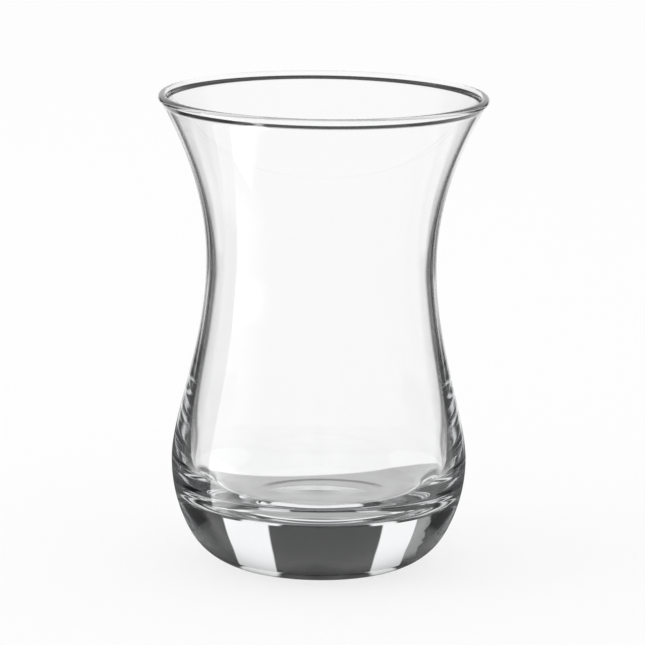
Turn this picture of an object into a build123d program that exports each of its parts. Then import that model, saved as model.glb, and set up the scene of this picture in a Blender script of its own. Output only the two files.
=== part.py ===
from build123d import *
import os
from math import cos, radians, sin, sqrt

# A waisted chai glass, pressed and blown in one piece of clear glass. Every face is turned about +Z,
# and the origin is the centre of the foot, on the surface that the glass stands on.
# All sizes are in millimetres and all angles in degrees.

# The outside
HEIGHT = 90.0
RIM_DIAMETER = 62.0
FLARE_ANGLE = 28.5  # lean of the wall below the rim, from upright
WAIST_DIAMETER = 43.4
WAIST_HEIGHT = 57.8
BELLY_DIAMETER = 55.8
BELLY_HEIGHT = 20.2
HEEL_RADIUS = 13.0  # rounds the ball of the base into the foot

# The underside
FOOT_RING_WIDTH = 1.1  # flat ring that the glass stands on
PUSH_UP_DEPTH = 0.6  # hollow inside the ring, so that the glass doesn't rock

# The thickness of the glass
BEAD_DIAMETER = 1.5  # fire-polished bead of the rim
LIP_LENGTH = 1.7  # length of wall, along the flare, that swells into the bead
LIP_SWELL_ANGLE = 10.0  # how far each side of the wall has opened where it meets the bead
WALL_AT_RIM = 1.05
WALL_AT_WAIST = 1.1
WALL_AT_BELLY = 3.05
FLOOR_THICKNESS = 11.7  # at the axis, from the standing surface
FLOOR_CORNER_HEIGHT = 10.7  # from the floor up to where the bore's side is upright
BORE_WAIST_DROP = 0.8  # the bore is narrowest this far below the outer waist

# Fullness of the curves: how far each end keeps its direction, as a share of the curve's rise or reach
BELLY_FULLNESS, UNDER_WAIST_FULLNESS = 0.22, 0.41
OVER_WAIST_FULLNESS, FLARE_FULLNESS = 0.45, 0.22
BORE_BELLY_FULLNESS, BORE_UNDER_WAIST_FULLNESS = 0.26, 0.31
BORE_OVER_WAIST_FULLNESS, BORE_FLARE_FULLNESS = 0.43, 0.18
FLOOR_FULLNESS, FLOOR_CORNER_FULLNESS = 0.83, 0.69
LIP_FULLNESS = 0.40

# Worked out from the sizes above
bead_radius = BEAD_DIAMETER / 2
bead_r, bead_z = RIM_DIAMETER / 2 - bead_radius, HEIGHT - bead_radius
waist_r, belly_r = WAIST_DIAMETER / 2, BELLY_DIAMETER / 2
bore_waist_r, bore_waist_z = waist_r - WALL_AT_WAIST, WAIST_HEIGHT - BORE_WAIST_DROP
bore_belly_r, bore_belly_z = belly_r - WALL_AT_BELLY, FLOOR_THICKNESS + FLOOR_CORNER_HEIGHT
foot_r = sqrt((belly_r - HEEL_RADIUS) ** 2 - (BELLY_HEIGHT - HEEL_RADIUS) ** 2)
push_up_r = foot_r - FOOT_RING_WIDTH


def point(radius, height):
    """A point of the half section, which lies in the XZ plane."""
    return Vector(radius, 0, height)


def leaning(angle):
    """The upward direction that leans outwards by an angle from upright."""
    return point(sin(radians(angle)), cos(radians(angle)))


def on_bead(angle):
    """The point of the rim's bead at an angle from level, outwards being 0 and up being 90."""
    return point(bead_r, bead_z) + point(cos(radians(angle)), sin(radians(angle))) * bead_radius


def s_curve(low, high, low_lean, high_lean, low_fullness, high_fullness):
    """A smooth wall line from low to high, leaning outwards by low_lean and high_lean at its two ends."""
    rise = high.Z - low.Z
    low_handle = leaning(low_lean) * (low_fullness * rise)
    high_handle = leaning(high_lean) * (high_fullness * rise)
    return Bezier(low, low + low_handle, high - high_handle, high)


def lip_start(side):
    """Where the wall begins to swell: on its outer face for side 1, on its inner face for side -1."""
    across = point(cos(radians(FLARE_ANGLE)), -sin(radians(FLARE_ANGLE)))
    return point(bead_r, bead_z) - leaning(FLARE_ANGLE) * LIP_LENGTH + across * (side * WALL_AT_RIM / 2)


def underside():
    """Push-up hollow and the flat ring round it."""
    hollow = TangentArc(point(0, PUSH_UP_DEPTH), point(push_up_r, 0), tangent=point(1, 0))
    ring = Line(point(push_up_r, 0), point(foot_r, 0))
    return [hollow, ring]


def round_base():
    """Heel and ball of the base: two arcs that meet the foot, each other and the belly without a corner."""
    centre = point(0, BELLY_HEIGHT)
    meeting = centre + (point(foot_r, HEEL_RADIUS) - centre).normalized() * belly_r
    heel = TangentArc(point(foot_r, 0), meeting, tangent=point(1, 0))
    ball = TangentArc(meeting, point(belly_r, BELLY_HEIGHT), tangent=heel % 1)
    return [heel, ball]


def outer_wall():
    """From the belly in to the waist, then out to the lip."""
    belly, waist = point(belly_r, BELLY_HEIGHT), point(waist_r, WAIST_HEIGHT)
    low = s_curve(belly, waist, 0, 0, BELLY_FULLNESS, UNDER_WAIST_FULLNESS)
    high = s_curve(waist, lip_start(1), 0, FLARE_ANGLE, OVER_WAIST_FULLNESS, FLARE_FULLNESS)
    return [low, high]


def lip():
    """The two sides of the wall swelling into the round bead that closes them."""
    outer_lean, inner_lean = FLARE_ANGLE + LIP_SWELL_ANGLE, FLARE_ANGLE - LIP_SWELL_ANGLE
    outer_end, inner_end = on_bead(-outer_lean), on_bead(180 - inner_lean)
    outer = s_curve(lip_start(1), outer_end, FLARE_ANGLE, outer_lean, LIP_FULLNESS, LIP_FULLNESS)
    bead = ThreePointArc(outer_end, on_bead(90 - FLARE_ANGLE), inner_end)
    inner = s_curve(lip_start(-1), inner_end, FLARE_ANGLE, inner_lean, LIP_FULLNESS, LIP_FULLNESS)
    return [outer, bead, inner]


def bore():
    """Inside of the glass, from the lip down through the waist to the rounded floor."""
    waist, side = point(bore_waist_r, bore_waist_z), point(bore_belly_r, bore_belly_z)
    high = s_curve(waist, lip_start(-1), 0, FLARE_ANGLE, BORE_OVER_WAIST_FULLNESS, BORE_FLARE_FULLNESS)
    low = s_curve(side, waist, 0, 0, BORE_BELLY_FULLNESS, BORE_UNDER_WAIST_FULLNESS)
    middle = point(0, FLOOR_THICKNESS)
    across = point(FLOOR_FULLNESS * bore_belly_r, 0)
    down = point(0, FLOOR_CORNER_FULLNESS * FLOOR_CORNER_HEIGHT)
    floor = Bezier(middle, middle + across, side - down, side)
    return [high, low, floor]


def glass_body():
    """The whole glass: its half section, closed along the axis and turned once round."""
    axis = Line(point(0, FLOOR_THICKNESS), point(0, PUSH_UP_DEPTH))
    section = Wire([*underside(), *round_base(), *outer_wall(), *lip(), *bore(), axis])
    return revolve(Face(section), Axis.Z)


os.makedirs("parts", exist_ok=True)
export_step(glass_body(), "parts/glass_body.step")
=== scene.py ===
from math import atan2, cos, degrees, pi, radians, sin, sqrt
from typing import NamedTuple

import bpy
from mathutils import Matrix, Vector, noise


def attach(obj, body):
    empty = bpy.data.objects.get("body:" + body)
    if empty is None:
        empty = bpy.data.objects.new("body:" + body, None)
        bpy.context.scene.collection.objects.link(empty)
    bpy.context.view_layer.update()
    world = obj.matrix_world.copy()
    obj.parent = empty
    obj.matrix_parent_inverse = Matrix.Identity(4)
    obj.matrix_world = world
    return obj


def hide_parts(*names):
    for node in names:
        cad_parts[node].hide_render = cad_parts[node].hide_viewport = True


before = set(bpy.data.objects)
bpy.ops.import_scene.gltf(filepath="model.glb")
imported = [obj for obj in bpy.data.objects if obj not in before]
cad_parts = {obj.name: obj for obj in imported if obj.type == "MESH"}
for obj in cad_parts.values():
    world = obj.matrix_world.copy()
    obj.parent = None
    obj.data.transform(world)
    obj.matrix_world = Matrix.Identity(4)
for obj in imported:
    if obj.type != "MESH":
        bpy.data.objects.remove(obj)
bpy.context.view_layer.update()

# The glass's sizes in millimetres, and its angles in degrees. They are those of the CAD part.
HEIGHT, RIM_DIAMETER, FLARE_ANGLE = 90.0, 62.0, 28.5
WAIST_DIAMETER, WAIST_HEIGHT = 43.4, 57.8
BELLY_DIAMETER, BELLY_HEIGHT, HEEL_RADIUS = 55.8, 20.2, 13.0
FOOT_RING_WIDTH, PUSH_UP_DEPTH = 1.1, 0.6
BEAD_DIAMETER, LIP_LENGTH, LIP_SWELL_ANGLE = 1.5, 1.7, 10.0
WALL_AT_RIM, WALL_AT_WAIST, WALL_AT_BELLY = 1.05, 1.1, 3.05
FLOOR_THICKNESS, FLOOR_CORNER_HEIGHT, BORE_WAIST_DROP = 11.7, 10.7, 0.8
BELLY_FULLNESS, UNDER_WAIST_FULLNESS = 0.22, 0.41
OVER_WAIST_FULLNESS, FLARE_FULLNESS = 0.45, 0.22
BORE_BELLY_FULLNESS, BORE_UNDER_WAIST_FULLNESS = 0.26, 0.31
BORE_OVER_WAIST_FULLNESS, BORE_FLARE_FULLNESS = 0.43, 0.18
FLOOR_FULLNESS, FLOOR_CORNER_FULLNESS = 0.83, 0.69
LIP_FULLNESS = 0.40
MM = 0.001

# Worked out from the sizes above
bead_radius = BEAD_DIAMETER / 2
bead_centre = Vector((RIM_DIAMETER / 2 - bead_radius, HEIGHT - bead_radius))
waist_r, belly_r = WAIST_DIAMETER / 2, BELLY_DIAMETER / 2
foot_r = sqrt((belly_r - HEEL_RADIUS) ** 2 - (BELLY_HEIGHT - HEEL_RADIUS) ** 2)
push_up_r = foot_r - FOOT_RING_WIDTH

# How finely the glass is turned, and how many steps each run of its section has
SEGMENTS = 240
HOLLOW_STEPS, RING_STEPS, BASE_STEPS = 12, 3, 26
UNDER_WAIST_STEPS, OVER_WAIST_STEPS = 44, 34
LIP_STEPS, BEAD_STEPS, FLOOR_STEPS = 8, 28, 44

# The inside is slightly uneven round the floor's corner, as in any pressed and blown glass. Sizes are in
# millimetres. The waves set in over a pair of radii and die out over a pair of heights.
WAVE_HEIGHT, WAVE_LENGTH_ROUND, WAVE_LENGTH_UP = 0.04, 6.0, 2.2
WAVES_FROM_RADIUS, WAVES_UP_TO = (14.0, 21.0), (14.0, 22.0)

# The glass's material, with scuffs on the foot ring that end over a pair of heights in metres
REFRACTIVE_INDEX = 1.52
DEPTH_COLOUR, DEPTH_DENSITY = (0.92, 0.935, 0.945, 1.0), 14.0
SCUFFS_UP_TO, SCUFF_SCALE, SCUFF_DETAIL = (0.00002, 0.00025), 900.0, 4.0
SCUFF_EDGE, SCUFF_ROUGHNESS = (0.35, 0.65), 0.25

# The camera, which sees the glass as the photograph does. Places are in metres, and angles in degrees.
IMAGE_PIXELS = 645
SENSOR_MM = 36.0
FOCAL_PIXELS = 4767.0
CAMERA_DISTANCE = 0.900
CAMERA_ELEVATION = 11.44
CAMERA_ROLL = 0.82
CAMERA_TARGET = Vector((0.00036, 0.0, 0.0464))
CAMERA_CLIP_END = 10.0

# The lamp, in metres and watts
LAMP_SIZE, LAMP_ENERGY = (0.45, 0.60), 1.2
LAMP_PLACE, LAMP_TARGET = Vector((-0.85, -0.28, 0.45)), Vector((0.0, 0.0, 0.04))

# How often light may be turned on its way
MAX_BOUNCES, TRANSMISSION_BOUNCES, DIFFUSE_BOUNCES = 96, 64, 4

# The studio. Levels are linear, 1 being white. Azimuths and elevations are in degrees: azimuth 0 is behind
# the glass as the camera sees it, and positive to the right. A pair is the two ends of a band or of a fade,
# and a name with SOFT is how far an edge blurs to either side.
WHITE = (1.0, 1.0, 1.0, 1.0)
BACKDROP_LEVEL, DOME_LEVEL = 1.0, 0.95
WHITE_LEVEL, DARK_LEVEL = 0.97, 0.012
HORIZON = (0.0, 2.4)

# Strip lights behind the glass, which fade upwards
RIGHT_STRIP, LEFT_STRIP, STRIP_SOFT = (14.3, 31.7), (-34.4, -19.6), 0.4
RIGHT_STRIP_TURNED, LEFT_STRIP_TURNED, STRIP_TURNED_SOFT = (10.7, 23.5), (-24.5, -15.5), 1.0
STRIP_FADE, STRIP_TOP_LEVEL = (14.0, 38.0), 0.6 * WHITE_LEVEL
LEFT_STRIP_DIMMED = 0.3

# Torn grey patch beside the left strip light
GREY_PATCH, GREY_PATCH_LEVEL = (-43.0, LEFT_STRIP[0]), 0.26
GREY_PATCH_UP, GREY_PATCH_UP_SOFT = (6.0, 27.0), 3.0
TEAR_DEPTH, TEAR_SCALE, TEAR_DETAIL, TEAR_SOFT = 9.0, 0.35, 1.0, 0.3

# Dark wall over the strip lights, and the ceiling over it
UPPER_WALL, UPPER_WALL_LEVEL = (34.0, 40.0), 0.12
CEILING, CEILING_LEVEL, CEILING_LEVEL_DIMMED = (50.0, 62.0), 0.75, 0.2

# Dark flags on white paper, below the horizon. Rays that pass straight through see narrower ones.
FLAG_LEVEL, FLAG_LEAN, FLAG_LEAN_UP = 0.05, 5.0, (-21.0, -12.0)
FLAG_INNER_EDGE, FLAG_OUTER_EDGE, FLAG_LOWER_EDGE = (11.0, 14.5), (43.0, 49.0), (-40.0, -22.0)
FLAG_OUTER_EDGE_STRAIGHT = (27.0, 35.0)

# Dark room mirrored in the table, with its strip lights dimmer lower down
MIRROR_EDGE, MIRROR_FADE, MIRROR_DIMMED = (-18.5, -15.5), (-14.0, -10.0), 0.55

# Bands round the sides and the back, dark and pale
EIGHTH_TURN = 45.0
SIDE_BAND, SIDE_BAND_SOFT = (17.0, 34.0), 4.0
SIDES_ABOVE, SIDE_LEVELS_ABOVE = (68.0, 78.0), (0.15, 0.88)
SIDES_BELOW, SIDE_LEVELS_BELOW = (50.0, 62.0), (0.30, WHITE_LEVEL)

# Simpler room for rays that were turned back inside the glass
SIDES_TURNED, TURNED_TOP = (62.0, 80.0), (46.0, 60.0)
ONCE_LEVEL, TRAPPED_LEVEL = 0.60, 0.12
OFTEN_BAND, OFTEN_LEVELS = (6.5, 18.0), (0.07, 0.85)
TWO_WALLS_SURFACES, TRAPPED_TURNS = 4, 15

# Room that the outside of the glass mirrors: a dark corner, dark flags and a bright window
WINDOW_EDGE = -86.0
CORNER, CORNER_SOFT, CORNER_UP, CORNER_UP_SOFT = (WINDOW_EDGE, -34.0), 1.0, (-25.0, 12.0), 5.0
CORNER_FADE, CORNER_DEPTHS = (-78.0, -58.0), (0.90, 0.45)
GLOSS_FLAG, GLOSS_FLAG_SOFT, GLOSS_FLAG_UP, GLOSS_FLAG_UP_SOFT = (20.0, 50.0), 4.0, (-22.0, 3.0), 3.0
GLOSS_FLAG_DEPTH = 0.85
WINDOW, WINDOW_SOFT, WINDOW_UP, WINDOW_UP_SOFT = (-150.0, WINDOW_EDGE), 1.0, (-37.0, 16.0), 8.0
WINDOW_FADE, WINDOW_LEVELS = (-135.0, -93.0), (1.2, 3.5)
WINDOW_BRIGHT, WINDOW_BRIGHT_SOFT = (-10.5, -1.0), 2.0

# The floor, and the table top that shows through the glass instead of it. Places are in metres.
FLOOR_HALF, FLOOR_COLOUR, FLOOR_GLOW = 4.0, (0.97, 0.97, 0.97, 1.0), 0.70
TABLE_LEVEL, TABLE_REACH, TABLE_REACH_SOFT = 0.44, 0.040, 0.002
TABLE_EDGE, TABLE_EDGE_SLOPE, TABLE_EDGE_SOFT = 0.0215, 0.2, 0.0006
FOOT_SHADOW_CENTRE, FOOT_SHADOW_RADIUS, FOOT_SHADOW_LEVEL = (0.0012, 0.0046), 0.0133, 0.06
FOOT_SHADOW_EDGE, FOOT_SHADOW_FADE = (0.0002, 0.0016), (0.006, 0.014)

# Floor that the outside of the glass mirrors: a dark patch of painted shade, the glass's contact shadow, and
# a card of painted light
PAINTED_SHADE_CENTRE, PAINTED_SHADE_EDGE, PAINTED_SHADE_LEVEL = (-0.03, 0.05), (0.09, 0.13), 0.12
PAINTED_SHADE_FRONT, PAINTED_SHADE_SLOPE = (-0.026, -0.020), 0.36
# The card is painted light: a glow on the floor, brighter than a lamp, that only the outside of the glass
# mirrors
PAINTED_LIGHT_LEVEL, PAINTED_LIGHT_ACROSS, PAINTED_LIGHT_ACROSS_SOFT = 6.5, (-0.105, -0.045), 0.002
PAINTED_LIGHT_EDGE, PAINTED_LIGHT_EDGE_SOFT, PAINTED_LIGHT_FADE = -0.015, 0.0015, (-0.052, -0.022)


def bezier(a, b, c, d, steps):
    """Points of a cubic curve, both ends included."""
    points = []
    for i in range(steps + 1):
        t = i / steps
        u = 1 - t
        points.append(a * u**3 + b * (3 * u * u * t) + c * (3 * u * t * t) + d * t**3)
    return points


def arc(centre, radius, start, end, steps):
    """Points of a circle's arc between two angles, both ends included."""
    angles = [radians(start + (end - start) * i / steps) for i in range(steps + 1)]
    return [centre + Vector((cos(a), sin(a))) * radius for a in angles]


def leaning(angle):
    """The upward direction that leans outwards by an angle from upright."""
    return Vector((sin(radians(angle)), cos(radians(angle))))


def s_curve(low, high, low_lean, high_lean, low_fullness, high_fullness, steps):
    """A smooth wall line from low to high, leaning outwards by low_lean and high_lean at its two ends."""
    rise = high.y - low.y
    low_handle = leaning(low_lean) * (low_fullness * rise)
    high_handle = leaning(high_lean) * (high_fullness * rise)
    return bezier(low, low + low_handle, high - high_handle, high, steps)


def lip_start(side):
    """Where the wall begins to swell: on its outer face for side 1, on its inner face for side -1."""
    across = Vector((cos(radians(FLARE_ANGLE)), -sin(radians(FLARE_ANGLE))))
    return bead_centre - leaning(FLARE_ANGLE) * LIP_LENGTH + across * (side * WALL_AT_RIM / 2)


def underside():
    """Push-up hollow and the flat ring round it."""
    dome_radius = (push_up_r**2 + PUSH_UP_DEPTH**2) / (2 * PUSH_UP_DEPTH)
    dome_end = degrees(atan2(dome_radius - PUSH_UP_DEPTH, push_up_r))
    hollow = arc(Vector((0, PUSH_UP_DEPTH - dome_radius)), dome_radius, 90, dome_end, HOLLOW_STEPS)
    ring = [Vector((push_up_r + FOOT_RING_WIDTH * i / RING_STEPS, 0)) for i in range(RING_STEPS + 1)]
    return [hollow, ring]


def round_base():
    """Heel and ball of the base: two arcs that meet the foot, each other and the belly without a corner."""
    meeting = -degrees(atan2(BELLY_HEIGHT - HEEL_RADIUS, foot_r))
    heel = arc(Vector((foot_r, HEEL_RADIUS)), HEEL_RADIUS, -90, meeting, BASE_STEPS)
    ball = arc(Vector((0, BELLY_HEIGHT)), belly_r, meeting, 0, BASE_STEPS)
    return [heel, ball]


def outer_wall():
    """From the belly in to the waist, then out to the lip."""
    belly, waist, flare = Vector((belly_r, BELLY_HEIGHT)), Vector((waist_r, WAIST_HEIGHT)), lip_start(1)
    low = s_curve(belly, waist, 0, 0, BELLY_FULLNESS, UNDER_WAIST_FULLNESS, UNDER_WAIST_STEPS)
    high = s_curve(waist, flare, 0, FLARE_ANGLE, OVER_WAIST_FULLNESS, FLARE_FULLNESS, OVER_WAIST_STEPS)
    return [low, high]


def lip():
    """Outer side, bead and inner side of the lip: the wall swells into the round bead that closes it."""
    outer_lean, inner_lean = FLARE_ANGLE + LIP_SWELL_ANGLE, FLARE_ANGLE - LIP_SWELL_ANGLE
    bead = arc(bead_centre, bead_radius, -outer_lean, 180 - inner_lean, BEAD_STEPS)
    outer = s_curve(lip_start(1), bead[0], FLARE_ANGLE, outer_lean, LIP_FULLNESS, LIP_FULLNESS, LIP_STEPS)
    inner = s_curve(lip_start(-1), bead[-1], FLARE_ANGLE, inner_lean, LIP_FULLNESS, LIP_FULLNESS, LIP_STEPS)
    return outer, bead, inner


def bore():
    """Inside of the glass, from the rounded floor up through the waist to the lip."""
    waist = Vector((waist_r - WALL_AT_WAIST, WAIST_HEIGHT - BORE_WAIST_DROP))
    side = Vector((belly_r - WALL_AT_BELLY, FLOOR_THICKNESS + FLOOR_CORNER_HEIGHT))
    middle, flare = Vector((0, FLOOR_THICKNESS)), lip_start(-1)
    across = Vector((FLOOR_FULLNESS * side.x, 0))
    down = Vector((0, FLOOR_CORNER_FULLNESS * FLOOR_CORNER_HEIGHT))
    floor = bezier(middle, middle + across, side - down, side, FLOOR_STEPS)
    low = s_curve(side, waist, 0, 0, BORE_BELLY_FULLNESS, BORE_UNDER_WAIST_FULLNESS, UNDER_WAIST_STEPS)
    fullness = BORE_OVER_WAIST_FULLNESS, BORE_FLARE_FULLNESS
    high = s_curve(waist, flare, 0, FLARE_ANGLE, *fullness, OVER_WAIST_STEPS)
    return [floor, low, high]


def joined(runs):
    """One run of points from several, each of which starts where the one before it ends."""
    points = list(runs[0])
    for run in runs[1:]:
        points += run[1:]
    return points


def half_section():
    """The glass's half section in millimetres, as points (radius, height). Its first run goes from the middle
    of the underside up the outside and over the rim, and its second on down to the middle of the floor."""
    outer_lip, bead, inner_lip = lip()
    outside = joined([*underside(), *round_base(), *outer_wall(), outer_lip, bead])
    inside = joined([*bore(), inner_lip])
    return outside, inside[::-1]


def smooth_step(value, low, high):
    """0 below low, 1 above high and smooth between them."""
    t = min(max((value - low) / (high - low), 0.0), 1.0)
    return t * t * (3 - 2 * t)


def waves(point, angle):
    """How far the inside stands off its true line, at a point of the section and an angle round the axis."""
    here = smooth_step(point.x, *WAVES_FROM_RADIUS) * (1 - smooth_step(point.y, *WAVES_UP_TO))
    across = point.x / WAVE_LENGTH_ROUND
    place = Vector((across * cos(angle), across * sin(angle), point.y / WAVE_LENGTH_UP))
    return WAVE_HEIGHT * here * noise.noise(place)


def spun_points(outside, inside):
    """The half section's points, turned once round the axis. The first and the last point lie on the axis."""
    section = outside + inside[1:]
    vertices = [(0.0, 0.0, section[0].y * MM)]
    for k in range(1, len(section) - 1):
        point = section[k]
        along = (section[k + 1] - section[k - 1]).normalized()
        for i in range(SEGMENTS):
            a = 2 * pi * i / SEGMENTS
            uneven = waves(point, a) if k >= len(outside) else 0.0
            radius, height = point.x + along.y * uneven, point.y - along.x * uneven
            vertices.append((radius * MM * cos(a), radius * MM * sin(a), height * MM))
    vertices.append((0.0, 0.0, section[-1].y * MM))
    return vertices


def spun_faces(rings):
    """Faces between the points of so many rings: triangles at both ends and four-sided faces elsewhere."""
    last = 1 + (rings - 1) * SEGMENTS
    end = last + SEGMENTS
    faces = []
    for i in range(SEGMENTS):
        j = (i + 1) % SEGMENTS
        faces.append((0, 1 + j, 1 + i))
        for ring in range(1, last, SEGMENTS):
            after = ring + SEGMENTS
            faces.append((ring + i, ring + j, after + j, after + i))
        faces.append((last + i, last + j, end))
    return faces


def placed(name, data):
    """A new object in the scene, made of a mesh, a lamp or a camera."""
    thing = bpy.data.objects.new(name, data)
    bpy.context.scene.collection.objects.link(thing)
    return thing


def spun(name, outside, inside):
    """A smooth closed piece: the half section turned once round the axis."""
    vertices = spun_points(outside, inside)
    rings = (len(vertices) - 2) // SEGMENTS
    mesh = bpy.data.meshes.new(name)
    mesh.from_pydata(vertices, [], spun_faces(rings))
    mesh.validate()
    mesh.polygons.foreach_set("use_smooth", [True] * len(mesh.polygons))
    return placed(name, mesh)


class Path(NamedTuple):
    """How a ray came to where it is. Each value is 1 for a ray that came so, and 0 for another."""

    camera: bpy.types.NodeSocket  # straight from the camera
    mirrored: bpy.types.NodeSocket  # off the outside of the glass
    seen: bpy.types.NodeSocket  # through the glass
    both_walls: bpy.types.NodeSocket  # through two walls of the glass
    turned: bpy.types.NodeSocket  # turned back inside the glass, once or more
    often: bpy.types.NodeSocket  # turned back more than once
    in_one_wall: bpy.types.NodeSocket  # turned back more than once, and not through two walls
    deep: bpy.types.NodeSocket  # turned back, and through two walls
    trapped: bpy.types.NodeSocket  # turned back very many times


class Nodes:
    """Short names for adding and joining the nodes of one tree."""

    def __init__(self, tree):
        self.tree = tree
        tree.nodes.clear()

    def add(self, kind, inputs=None, **settings):
        """A new node with its settings, and with its inputs fed."""
        node = self.tree.nodes.new(kind)
        for key, value in settings.items():
            setattr(node, key, value)
        for key, value in (inputs or {}).items():
            self.feed(node.inputs[key], value)
        return node

    def feed(self, socket, value):
        """Links an input to another node's output, or sets it to a plain value."""
        if isinstance(value, bpy.types.NodeSocket):
            self.tree.links.new(value, socket)
        else:
            socket.default_value = value

    def math(self, operation, *values):
        """The outcome of one Math node."""
        node = self.add("ShaderNodeMath", operation=operation)
        for socket, value in zip(node.inputs, values):
            self.feed(socket, value)
        return node.outputs[0]

    def product(self, first, *others):
        """Two or more values multiplied."""
        for other in others:
            first = self.math("MULTIPLY", first, other)
        return first

    def inverse(self, value):
        """1 where the value is 0, and 0 where it is 1."""
        return self.math("SUBTRACT", 1.0, value)

    def at_least(self, count, least):
        """1 where a whole number is at least so high, and 0 where it is lower."""
        return self.math("GREATER_THAN", count, least - 0.5)

    def step(self, value, low, high):
        """0 below low, 1 above high and smooth between them."""
        limits = {"Value": value, "From Min": low, "From Max": high}
        return self.add("ShaderNodeMapRange", limits, interpolation_type="SMOOTHSTEP").outputs[0]

    def edge(self, value, middle, soft):
        """0 well below the middle and 1 well above it, with a blur as far as soft to either side."""
        return self.step(value, middle - soft, middle + soft)

    def band(self, value, low, high, soft):
        """1 between low and high and 0 outside, with blurred edges."""
        return self.math("SUBTRACT", self.edge(value, low, soft), self.edge(value, high, soft))

    def blend(self, factor, first, second):
        """first where the factor is 0 and second where it is 1, for plain numbers."""
        node = self.add("ShaderNodeMix", {"Factor": factor}, data_type="FLOAT")
        self.feed(node.inputs[2], first)
        self.feed(node.inputs[3], second)
        return node.outputs[0]

    def split(self, vector):
        """A vector's three numbers."""
        return self.add("ShaderNodeSeparateXYZ", {0: vector}).outputs

    def distance(self, place, centre=(0.0, 0.0)):
        """How far a place is from an upright line through a centre (x, y), or else from the glass's axis."""
        x, y, _ = self.split(place)
        off_x, off_y = self.math("SUBTRACT", x, centre[0]), self.math("SUBTRACT", y, centre[1])
        return self.math("SQRT", self.math("ADD", self.product(off_x, off_x), self.product(off_y, off_y)))

    def heading(self, direction):
        """A direction's azimuth and elevation in degrees."""
        x, y, z = self.split(direction)
        azimuth = self.math("DEGREES", self.math("ARCTAN2", x, y))
        elevation = self.math("DEGREES", self.math("ARCSINE", z))
        return azimuth, elevation

    def glow(self, level):
        """A shader node of plain light."""
        return self.add("ShaderNodeEmission", {"Strength": level})

    def mix(self, factor, first, second):
        """The first shader node where the factor is 0 and the second where it is 1."""
        return self.add("ShaderNodeMixShader", {0: factor, 1: first.outputs[0], 2: second.outputs[0]})

    def path(self):
        """How a ray came here. Light that a matte surface scattered is neither mirrored nor seen."""
        light = self.add("ShaderNodeLightPath").outputs
        first_hand = self.inverse(self.at_least(light["Diffuse Depth"], 1))
        both_walls = self.at_least(light["Transmission Depth"], TWO_WALLS_SURFACES)
        turned, often, trapped = [self.at_least(light["Glossy Depth"], n) for n in (1, 2, TRAPPED_TURNS)]
        return Path(
            camera=light["Is Camera Ray"],
            mirrored=self.product(light["Is Reflection Ray"], first_hand),
            seen=self.product(light["Is Transmission Ray"], first_hand),
            both_walls=both_walls,
            turned=turned,
            often=often,
            in_one_wall=self.product(often, self.inverse(both_walls)),
            deep=self.product(turned, both_walls),
            trapped=trapped,
        )


def side_pattern(nodes, azimuth, levels, pale_band=SIDE_BAND):
    """Soft pale bands that repeat every quarter turn, for the views from the sides and the back."""
    around = nodes.math("ABSOLUTE", nodes.math("WRAP", azimuth, EIGHTH_TURN, -EIGHTH_TURN))
    return nodes.blend(nodes.band(around, *pale_band, SIDE_BAND_SOFT), *levels)


def ragged_patch(nodes, azimuth, elevation):
    """A grey patch with a torn left edge, beside the left strip light."""
    texture = {"W": elevation, "Scale": TEAR_SCALE, "Detail": TEAR_DETAIL}
    tear = nodes.add("ShaderNodeTexNoise", texture, noise_dimensions="1D").outputs[0]
    torn = nodes.math("MULTIPLY_ADD", tear, TEAR_DEPTH, nodes.math("SUBTRACT", azimuth, TEAR_DEPTH / 2))
    rise = nodes.edge(torn, GREY_PATCH[0], TEAR_SOFT)
    fall = nodes.edge(azimuth, GREY_PATCH[1], STRIP_SOFT)
    upwards = nodes.band(elevation, *GREY_PATCH_UP, GREY_PATCH_UP_SOFT)
    return nodes.product(rise, nodes.inverse(fall), upwards)


def turned_strips(nodes, azimuth):
    """The two strip lights, where rays see them that were turned back once."""
    right = nodes.band(azimuth, *RIGHT_STRIP_TURNED, STRIP_TURNED_SOFT)
    left = nodes.band(azimuth, *LEFT_STRIP_TURNED, STRIP_TURNED_SOFT)
    return nodes.math("ADD", right, left)


def strip_lights(nodes, azimuth, ray):
    """The two strip lights. Rays that were turned back often in one wall see the left one dimmed."""
    right = nodes.band(azimuth, *RIGHT_STRIP, STRIP_SOFT)
    share = nodes.blend(ray.in_one_wall, 1.0, LEFT_STRIP_DIMMED)
    left = nodes.product(nodes.band(azimuth, *LEFT_STRIP, STRIP_SOFT), share)
    once = nodes.product(ray.turned, nodes.inverse(ray.in_one_wall))
    return nodes.blend(once, nodes.math("ADD", right, left), turned_strips(nodes, azimuth))


def lights_behind(nodes, azimuth, elevation, ray):
    """Above the horizon: two tall white strip lights in a dark room, which fade upwards, and a pale ceiling.
    Rays that were turned back often in one wall see a dark ceiling."""
    fade = nodes.blend(nodes.step(elevation, *STRIP_FADE), WHITE_LEVEL, STRIP_TOP_LEVEL)
    level = nodes.blend(strip_lights(nodes, azimuth, ray), DARK_LEVEL, fade)
    level = nodes.blend(ragged_patch(nodes, azimuth, elevation), level, GREY_PATCH_LEVEL)
    beside = nodes.step(nodes.math("ABSOLUTE", azimuth), *SIDES_ABOVE)
    level = nodes.blend(beside, level, side_pattern(nodes, azimuth, SIDE_LEVELS_ABOVE))
    level = nodes.blend(nodes.step(elevation, *UPPER_WALL), level, UPPER_WALL_LEVEL)
    ceiling = nodes.blend(ray.in_one_wall, CEILING_LEVEL, CEILING_LEVEL_DIMMED)
    return nodes.blend(nodes.step(elevation, *CEILING), level, ceiling)


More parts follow.
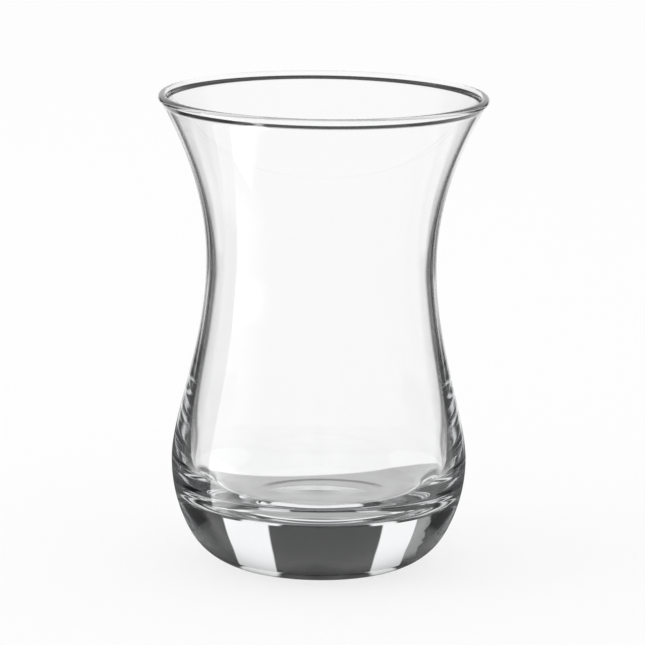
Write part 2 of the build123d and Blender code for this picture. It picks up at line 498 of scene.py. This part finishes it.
def dark_flags(nodes, azimuth, elevation, ray):
    """Two flags left and right of the glass's back, whose inner edges lean. The base and the rim don't show
    them to rays that pass straight through."""
    away = nodes.math("ABSOLUTE", azimuth)
    lean = nodes.math("MULTIPLY_ADD", nodes.step(elevation, *FLAG_LEAN_UP), FLAG_LEAN, -FLAG_LEAN)
    inner = nodes.step(nodes.math("ADD", away, lean), *FLAG_INNER_EDGE)
    straight = nodes.step(away, *FLAG_OUTER_EDGE_STRAIGHT)
    outer = nodes.blend(ray.turned, straight, nodes.step(away, *FLAG_OUTER_EDGE))
    shown = nodes.math("MAXIMUM", ray.turned, ray.both_walls)
    return nodes.product(nodes.math("SUBTRACT", inner, outer), shown, nodes.step(elevation, *FLAG_LOWER_EDGE))


def floor_behind(nodes, azimuth, elevation, ray):
    """Below the horizon: white paper between two dark flags. Rays that were turned back and leave nearly
    level see the dark room mirrored in the table."""
    share = nodes.blend(nodes.step(elevation, *MIRROR_FADE), MIRROR_DIMMED, 1.0)
    strips = nodes.product(turned_strips(nodes, azimuth), share)
    in_table = nodes.product(ray.turned, nodes.step(elevation, *MIRROR_EDGE))
    dark = nodes.blend(in_table, dark_flags(nodes, azimuth, elevation, ray), nodes.inverse(strips))
    level = nodes.blend(dark, WHITE_LEVEL, FLAG_LEVEL)
    beside = nodes.step(nodes.math("ABSOLUTE", azimuth), *SIDES_BELOW)
    bands = side_pattern(nodes, nodes.math("ADD", azimuth, EIGHTH_TURN), SIDE_LEVELS_BELOW)
    return nodes.blend(beside, level, nodes.blend(ray.turned, WHITE_LEVEL, bands))


def room_in_glass(nodes, azimuth, elevation, ray):
    """What shows through the glass. Rays that were turned back see a simpler room round the sides, and those
    that also passed two walls see it all round."""
    below = floor_behind(nodes, azimuth, elevation, ray)
    above = lights_behind(nodes, azimuth, elevation, ray)
    room = nodes.blend(nodes.step(elevation, *HORIZON), below, above)
    once = nodes.blend(ray.both_walls, ONCE_LEVEL, WHITE_LEVEL)
    simple = nodes.blend(ray.often, once, side_pattern(nodes, azimuth, OFTEN_LEVELS, OFTEN_BAND))
    beside = nodes.step(nodes.math("ABSOLUTE", azimuth), *SIDES_TURNED)
    elsewhere = nodes.math("MAXIMUM", nodes.product(ray.turned, beside), ray.deep)
    below_ceiling = nodes.inverse(nodes.step(elevation, *TURNED_TOP))
    room = nodes.blend(nodes.product(elsewhere, below_ceiling), room, simple)
    return nodes.blend(ray.trapped, room, TRAPPED_LEVEL)


def room_in_gloss(nodes, azimuth, elevation):
    """What the outside of the glass mirrors: a white room with two dark flags, and on the left a bright
    window beyond a dark corner."""
    corner = nodes.product(
        nodes.band(azimuth, *CORNER, CORNER_SOFT),
        nodes.band(elevation, *CORNER_UP, CORNER_UP_SOFT),
        nodes.blend(nodes.step(azimuth, *CORNER_FADE), *CORNER_DEPTHS),
    )
    flags = nodes.product(
        nodes.band(nodes.math("ABSOLUTE", azimuth), *GLOSS_FLAG, GLOSS_FLAG_SOFT),
        nodes.band(elevation, *GLOSS_FLAG_UP, GLOSS_FLAG_UP_SOFT),
        GLOSS_FLAG_DEPTH,
    )
    window = nodes.product(
        nodes.band(azimuth, *WINDOW, WINDOW_SOFT),
        nodes.step(azimuth, *WINDOW_FADE),
        nodes.band(elevation, *WINDOW_UP, WINDOW_UP_SOFT),
    )
    level = nodes.math("SUBTRACT", WHITE_LEVEL, nodes.math("MAXIMUM", corner, flags))
    strength = nodes.blend(nodes.band(elevation, *WINDOW_BRIGHT, WINDOW_BRIGHT_SOFT), *WINDOW_LEVELS)
    return nodes.math("MULTIPLY_ADD", window, strength, level)


def studio_world():
    """A white backdrop and a plain pale dome. The glass shows a room with lights and dark flags instead,
    through itself and in its gloss."""
    world = bpy.data.worlds.new("studio")
    world.use_nodes = True
    bpy.context.scene.world = world
    nodes = Nodes(world.node_tree)
    azimuth, elevation = nodes.heading(nodes.add("ShaderNodeTexCoord").outputs["Generated"])
    ray = nodes.path()
    level = nodes.blend(ray.seen, DOME_LEVEL, room_in_glass(nodes, azimuth, elevation, ray))
    level = nodes.blend(ray.mirrored, level, room_in_gloss(nodes, azimuth, elevation))
    level = nodes.blend(ray.camera, level, BACKDROP_LEVEL)
    background = nodes.add("ShaderNodeBackground", {"Color": WHITE, "Strength": level})
    nodes.add("ShaderNodeOutputWorld", {"Surface": background.outputs[0]})


def table_level(nodes, place, y):
    """The grey table top under the glass, with the shadow that the foot throws backwards."""
    off_ring = nodes.math("SUBTRACT", nodes.distance(place, FOOT_SHADOW_CENTRE), FOOT_SHADOW_RADIUS)
    on_ring = nodes.inverse(nodes.step(nodes.math("ABSOLUTE", off_ring), *FOOT_SHADOW_EDGE))
    shadow = nodes.product(on_ring, nodes.step(y, *FOOT_SHADOW_FADE))
    return nodes.blend(shadow, TABLE_LEVEL, FOOT_SHADOW_LEVEL)


def floor_in_glass(nodes, place, ray):
    """What shows through the glass: a grey table top with a back edge, and the room beyond it."""
    x, y, _ = nodes.split(place)
    table = nodes.glow(table_level(nodes, place, y))
    past_edge = nodes.edge(nodes.math("MULTIPLY_ADD", x, -TABLE_EDGE_SLOPE, y), TABLE_EDGE, TABLE_EDGE_SOFT)
    past_reach = nodes.edge(nodes.distance(place), TABLE_REACH, TABLE_REACH_SOFT)
    off_table = nodes.math("MAXIMUM", nodes.math("MAXIMUM", past_edge, past_reach), ray.deep)
    return nodes.mix(off_table, table, nodes.add("ShaderNodeBsdfTransparent"))


def on_painted_light(nodes, x, y):
    """1 on a card of painted light, glowing far brighter than white, that lies on the floor to the left of
    the glass, and fades towards the camera.
    """
    across = nodes.band(x, *PAINTED_LIGHT_ACROSS, PAINTED_LIGHT_ACROSS_SOFT)
    before_edge = nodes.inverse(nodes.edge(y, PAINTED_LIGHT_EDGE, PAINTED_LIGHT_EDGE_SOFT))
    return nodes.product(across, before_edge, nodes.step(y, *PAINTED_LIGHT_FADE))


def floor_in_gloss(nodes, place):
    """What the outside of the glass mirrors: a dark patch of painted shade, standing for the glass's contact
    shadow, that doesn't reach the front, a card of painted light, and the room beyond them."""
    x, y, _ = nodes.split(place)
    # The dark patch is painted shade: the glass's contact shadow, which only the outside of the glass mirrors
    past_patch = nodes.step(nodes.distance(place, PAINTED_SHADE_CENTRE), *PAINTED_SHADE_EDGE)
    backwards = nodes.math("MULTIPLY_ADD", nodes.math("ABSOLUTE", x), -PAINTED_SHADE_SLOPE, y)
    in_front = nodes.inverse(nodes.step(backwards, *PAINTED_SHADE_FRONT))
    off_patch = nodes.math("MAXIMUM", past_patch, in_front)
    patch = nodes.mix(off_patch, nodes.glow(PAINTED_SHADE_LEVEL), nodes.add("ShaderNodeBsdfTransparent"))
    # Painted light: the card glows on the floor for mirrored rays only
    return nodes.mix(on_painted_light(nodes, x, y), patch, nodes.glow(PAINTED_LIGHT_LEVEL))


def floor_material():
    """Plain pale matte floor. The glass shows another one instead, through itself and in its gloss."""
    material = bpy.data.materials.new("studio_floor")
    material.use_nodes = True
    nodes = Nodes(material.node_tree)
    place = nodes.add("ShaderNodeNewGeometry").outputs["Position"]
    ray = nodes.path()
    matte = nodes.add("ShaderNodeBsdfDiffuse", {"Color": FLOOR_COLOUR})
    surface = nodes.mix(nodes.product(ray.camera, FLOOR_GLOW), matte, nodes.glow(BACKDROP_LEVEL))
    surface = nodes.mix(ray.seen, surface, floor_in_glass(nodes, place, ray))
    surface = nodes.mix(ray.mirrored, surface, floor_in_gloss(nodes, place))
    nodes.add("ShaderNodeOutputMaterial", {"Surface": surface.outputs[0]})
    return material


def studio_floor():
    """A wide flat floor at the height of the glass's foot."""
    mesh = bpy.data.meshes.new("studio_floor")
    corners = [(x * FLOOR_HALF, y * FLOOR_HALF, 0) for x, y in ((-1, -1), (1, -1), (1, 1), (-1, 1))]
    mesh.from_pydata(corners, [], [(0, 1, 2, 3)])
    mesh.materials.append(floor_material())
    placed("studio_floor", mesh)


def softbox():
    """One large soft lamp to the left of the camera, which the glass doesn't show."""
    lamp = bpy.data.lights.new("softbox", "AREA")
    lamp.shape = "RECTANGLE"
    lamp.size, lamp.size_y = LAMP_SIZE
    lamp.energy = LAMP_ENERGY
    box = placed("softbox", lamp)
    box.location = LAMP_PLACE
    box.rotation_euler = (LAMP_TARGET - LAMP_PLACE).to_track_quat("-Z", "Y").to_euler()
    box.visible_camera = False
    box.visible_transmission = False
    box.visible_glossy = False


def camera():
    """A long lens at the photograph's viewing angle, with the photograph's slight roll."""
    data = bpy.data.cameras.new("camera")
    data.sensor_width = SENSOR_MM
    data.lens = FOCAL_PIXELS * SENSOR_MM / IMAGE_PIXELS
    data.clip_end = CAMERA_CLIP_END
    view = placed("camera", data)
    e, roll = radians(CAMERA_ELEVATION), radians(CAMERA_ROLL)
    back = Vector((0, -cos(e), sin(e)))
    level_right, level_up = Vector((1, 0, 0)), Vector((0, sin(e), cos(e)))
    right = level_right * cos(roll) + level_up * sin(roll)
    up = level_up * cos(roll) - level_right * sin(roll)
    facing = Matrix((right, up, back)).transposed().to_4x4()
    view.matrix_world = Matrix.Translation(CAMERA_TARGET + back * CAMERA_DISTANCE) @ facing
    bpy.context.scene.camera = view


def clear_glass():
    """Clear soda-lime glass with a trace of blue-grey in its depth and a scuffed foot ring."""
    material = bpy.data.materials.new("clear_glass")
    material.use_nodes = True
    nodes = Nodes(material.node_tree)
    place = nodes.add("ShaderNodeTexCoord").outputs["Object"]
    _, _, height = nodes.split(place)
    texture = {"Vector": place, "Scale": SCUFF_SCALE, "Detail": SCUFF_DETAIL}
    scuffs = nodes.add("ShaderNodeTexNoise", texture).outputs[0]
    on_ring = nodes.inverse(nodes.step(height, *SCUFFS_UP_TO))
    roughness = nodes.product(on_ring, nodes.step(scuffs, *SCUFF_EDGE), SCUFF_ROUGHNESS)
    glass = nodes.add("ShaderNodeBsdfPrincipled", {"Base Color": WHITE, "Roughness": roughness})
    glass.inputs["IOR"].default_value = REFRACTIVE_INDEX
    glass.inputs["Transmission Weight"].default_value = 1.0
    depth = nodes.add("ShaderNodeVolumeAbsorption")
    depth.inputs["Color"].default_value = DEPTH_COLOUR
    depth.inputs["Density"].default_value = DEPTH_DENSITY
    nodes.add("ShaderNodeOutputMaterial", {"Surface": glass.outputs[0], "Volume": depth.outputs[0]})
    return material


def glass_body():
    """The glass itself, turned more finely than the CAD node that it stands for."""
    piece = spun("chai_glass", *half_section())
    piece.data.materials.append(clear_glass())
    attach(piece, "root")
    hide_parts("glass_body")


def light_paths():
    """Enough bounces for light that is turned round many times inside thick glass."""
    cycles = bpy.context.scene.cycles
    cycles.max_bounces = MAX_BOUNCES
    cycles.glossy_bounces = MAX_BOUNCES
    cycles.transmission_bounces = TRANSMISSION_BOUNCES
    cycles.diffuse_bounces = DIFFUSE_BOUNCES


bpy.context.scene.view_settings.view_transform = "Standard"
glass_body()
studio_floor()
studio_world()
softbox()
camera()
light_paths()
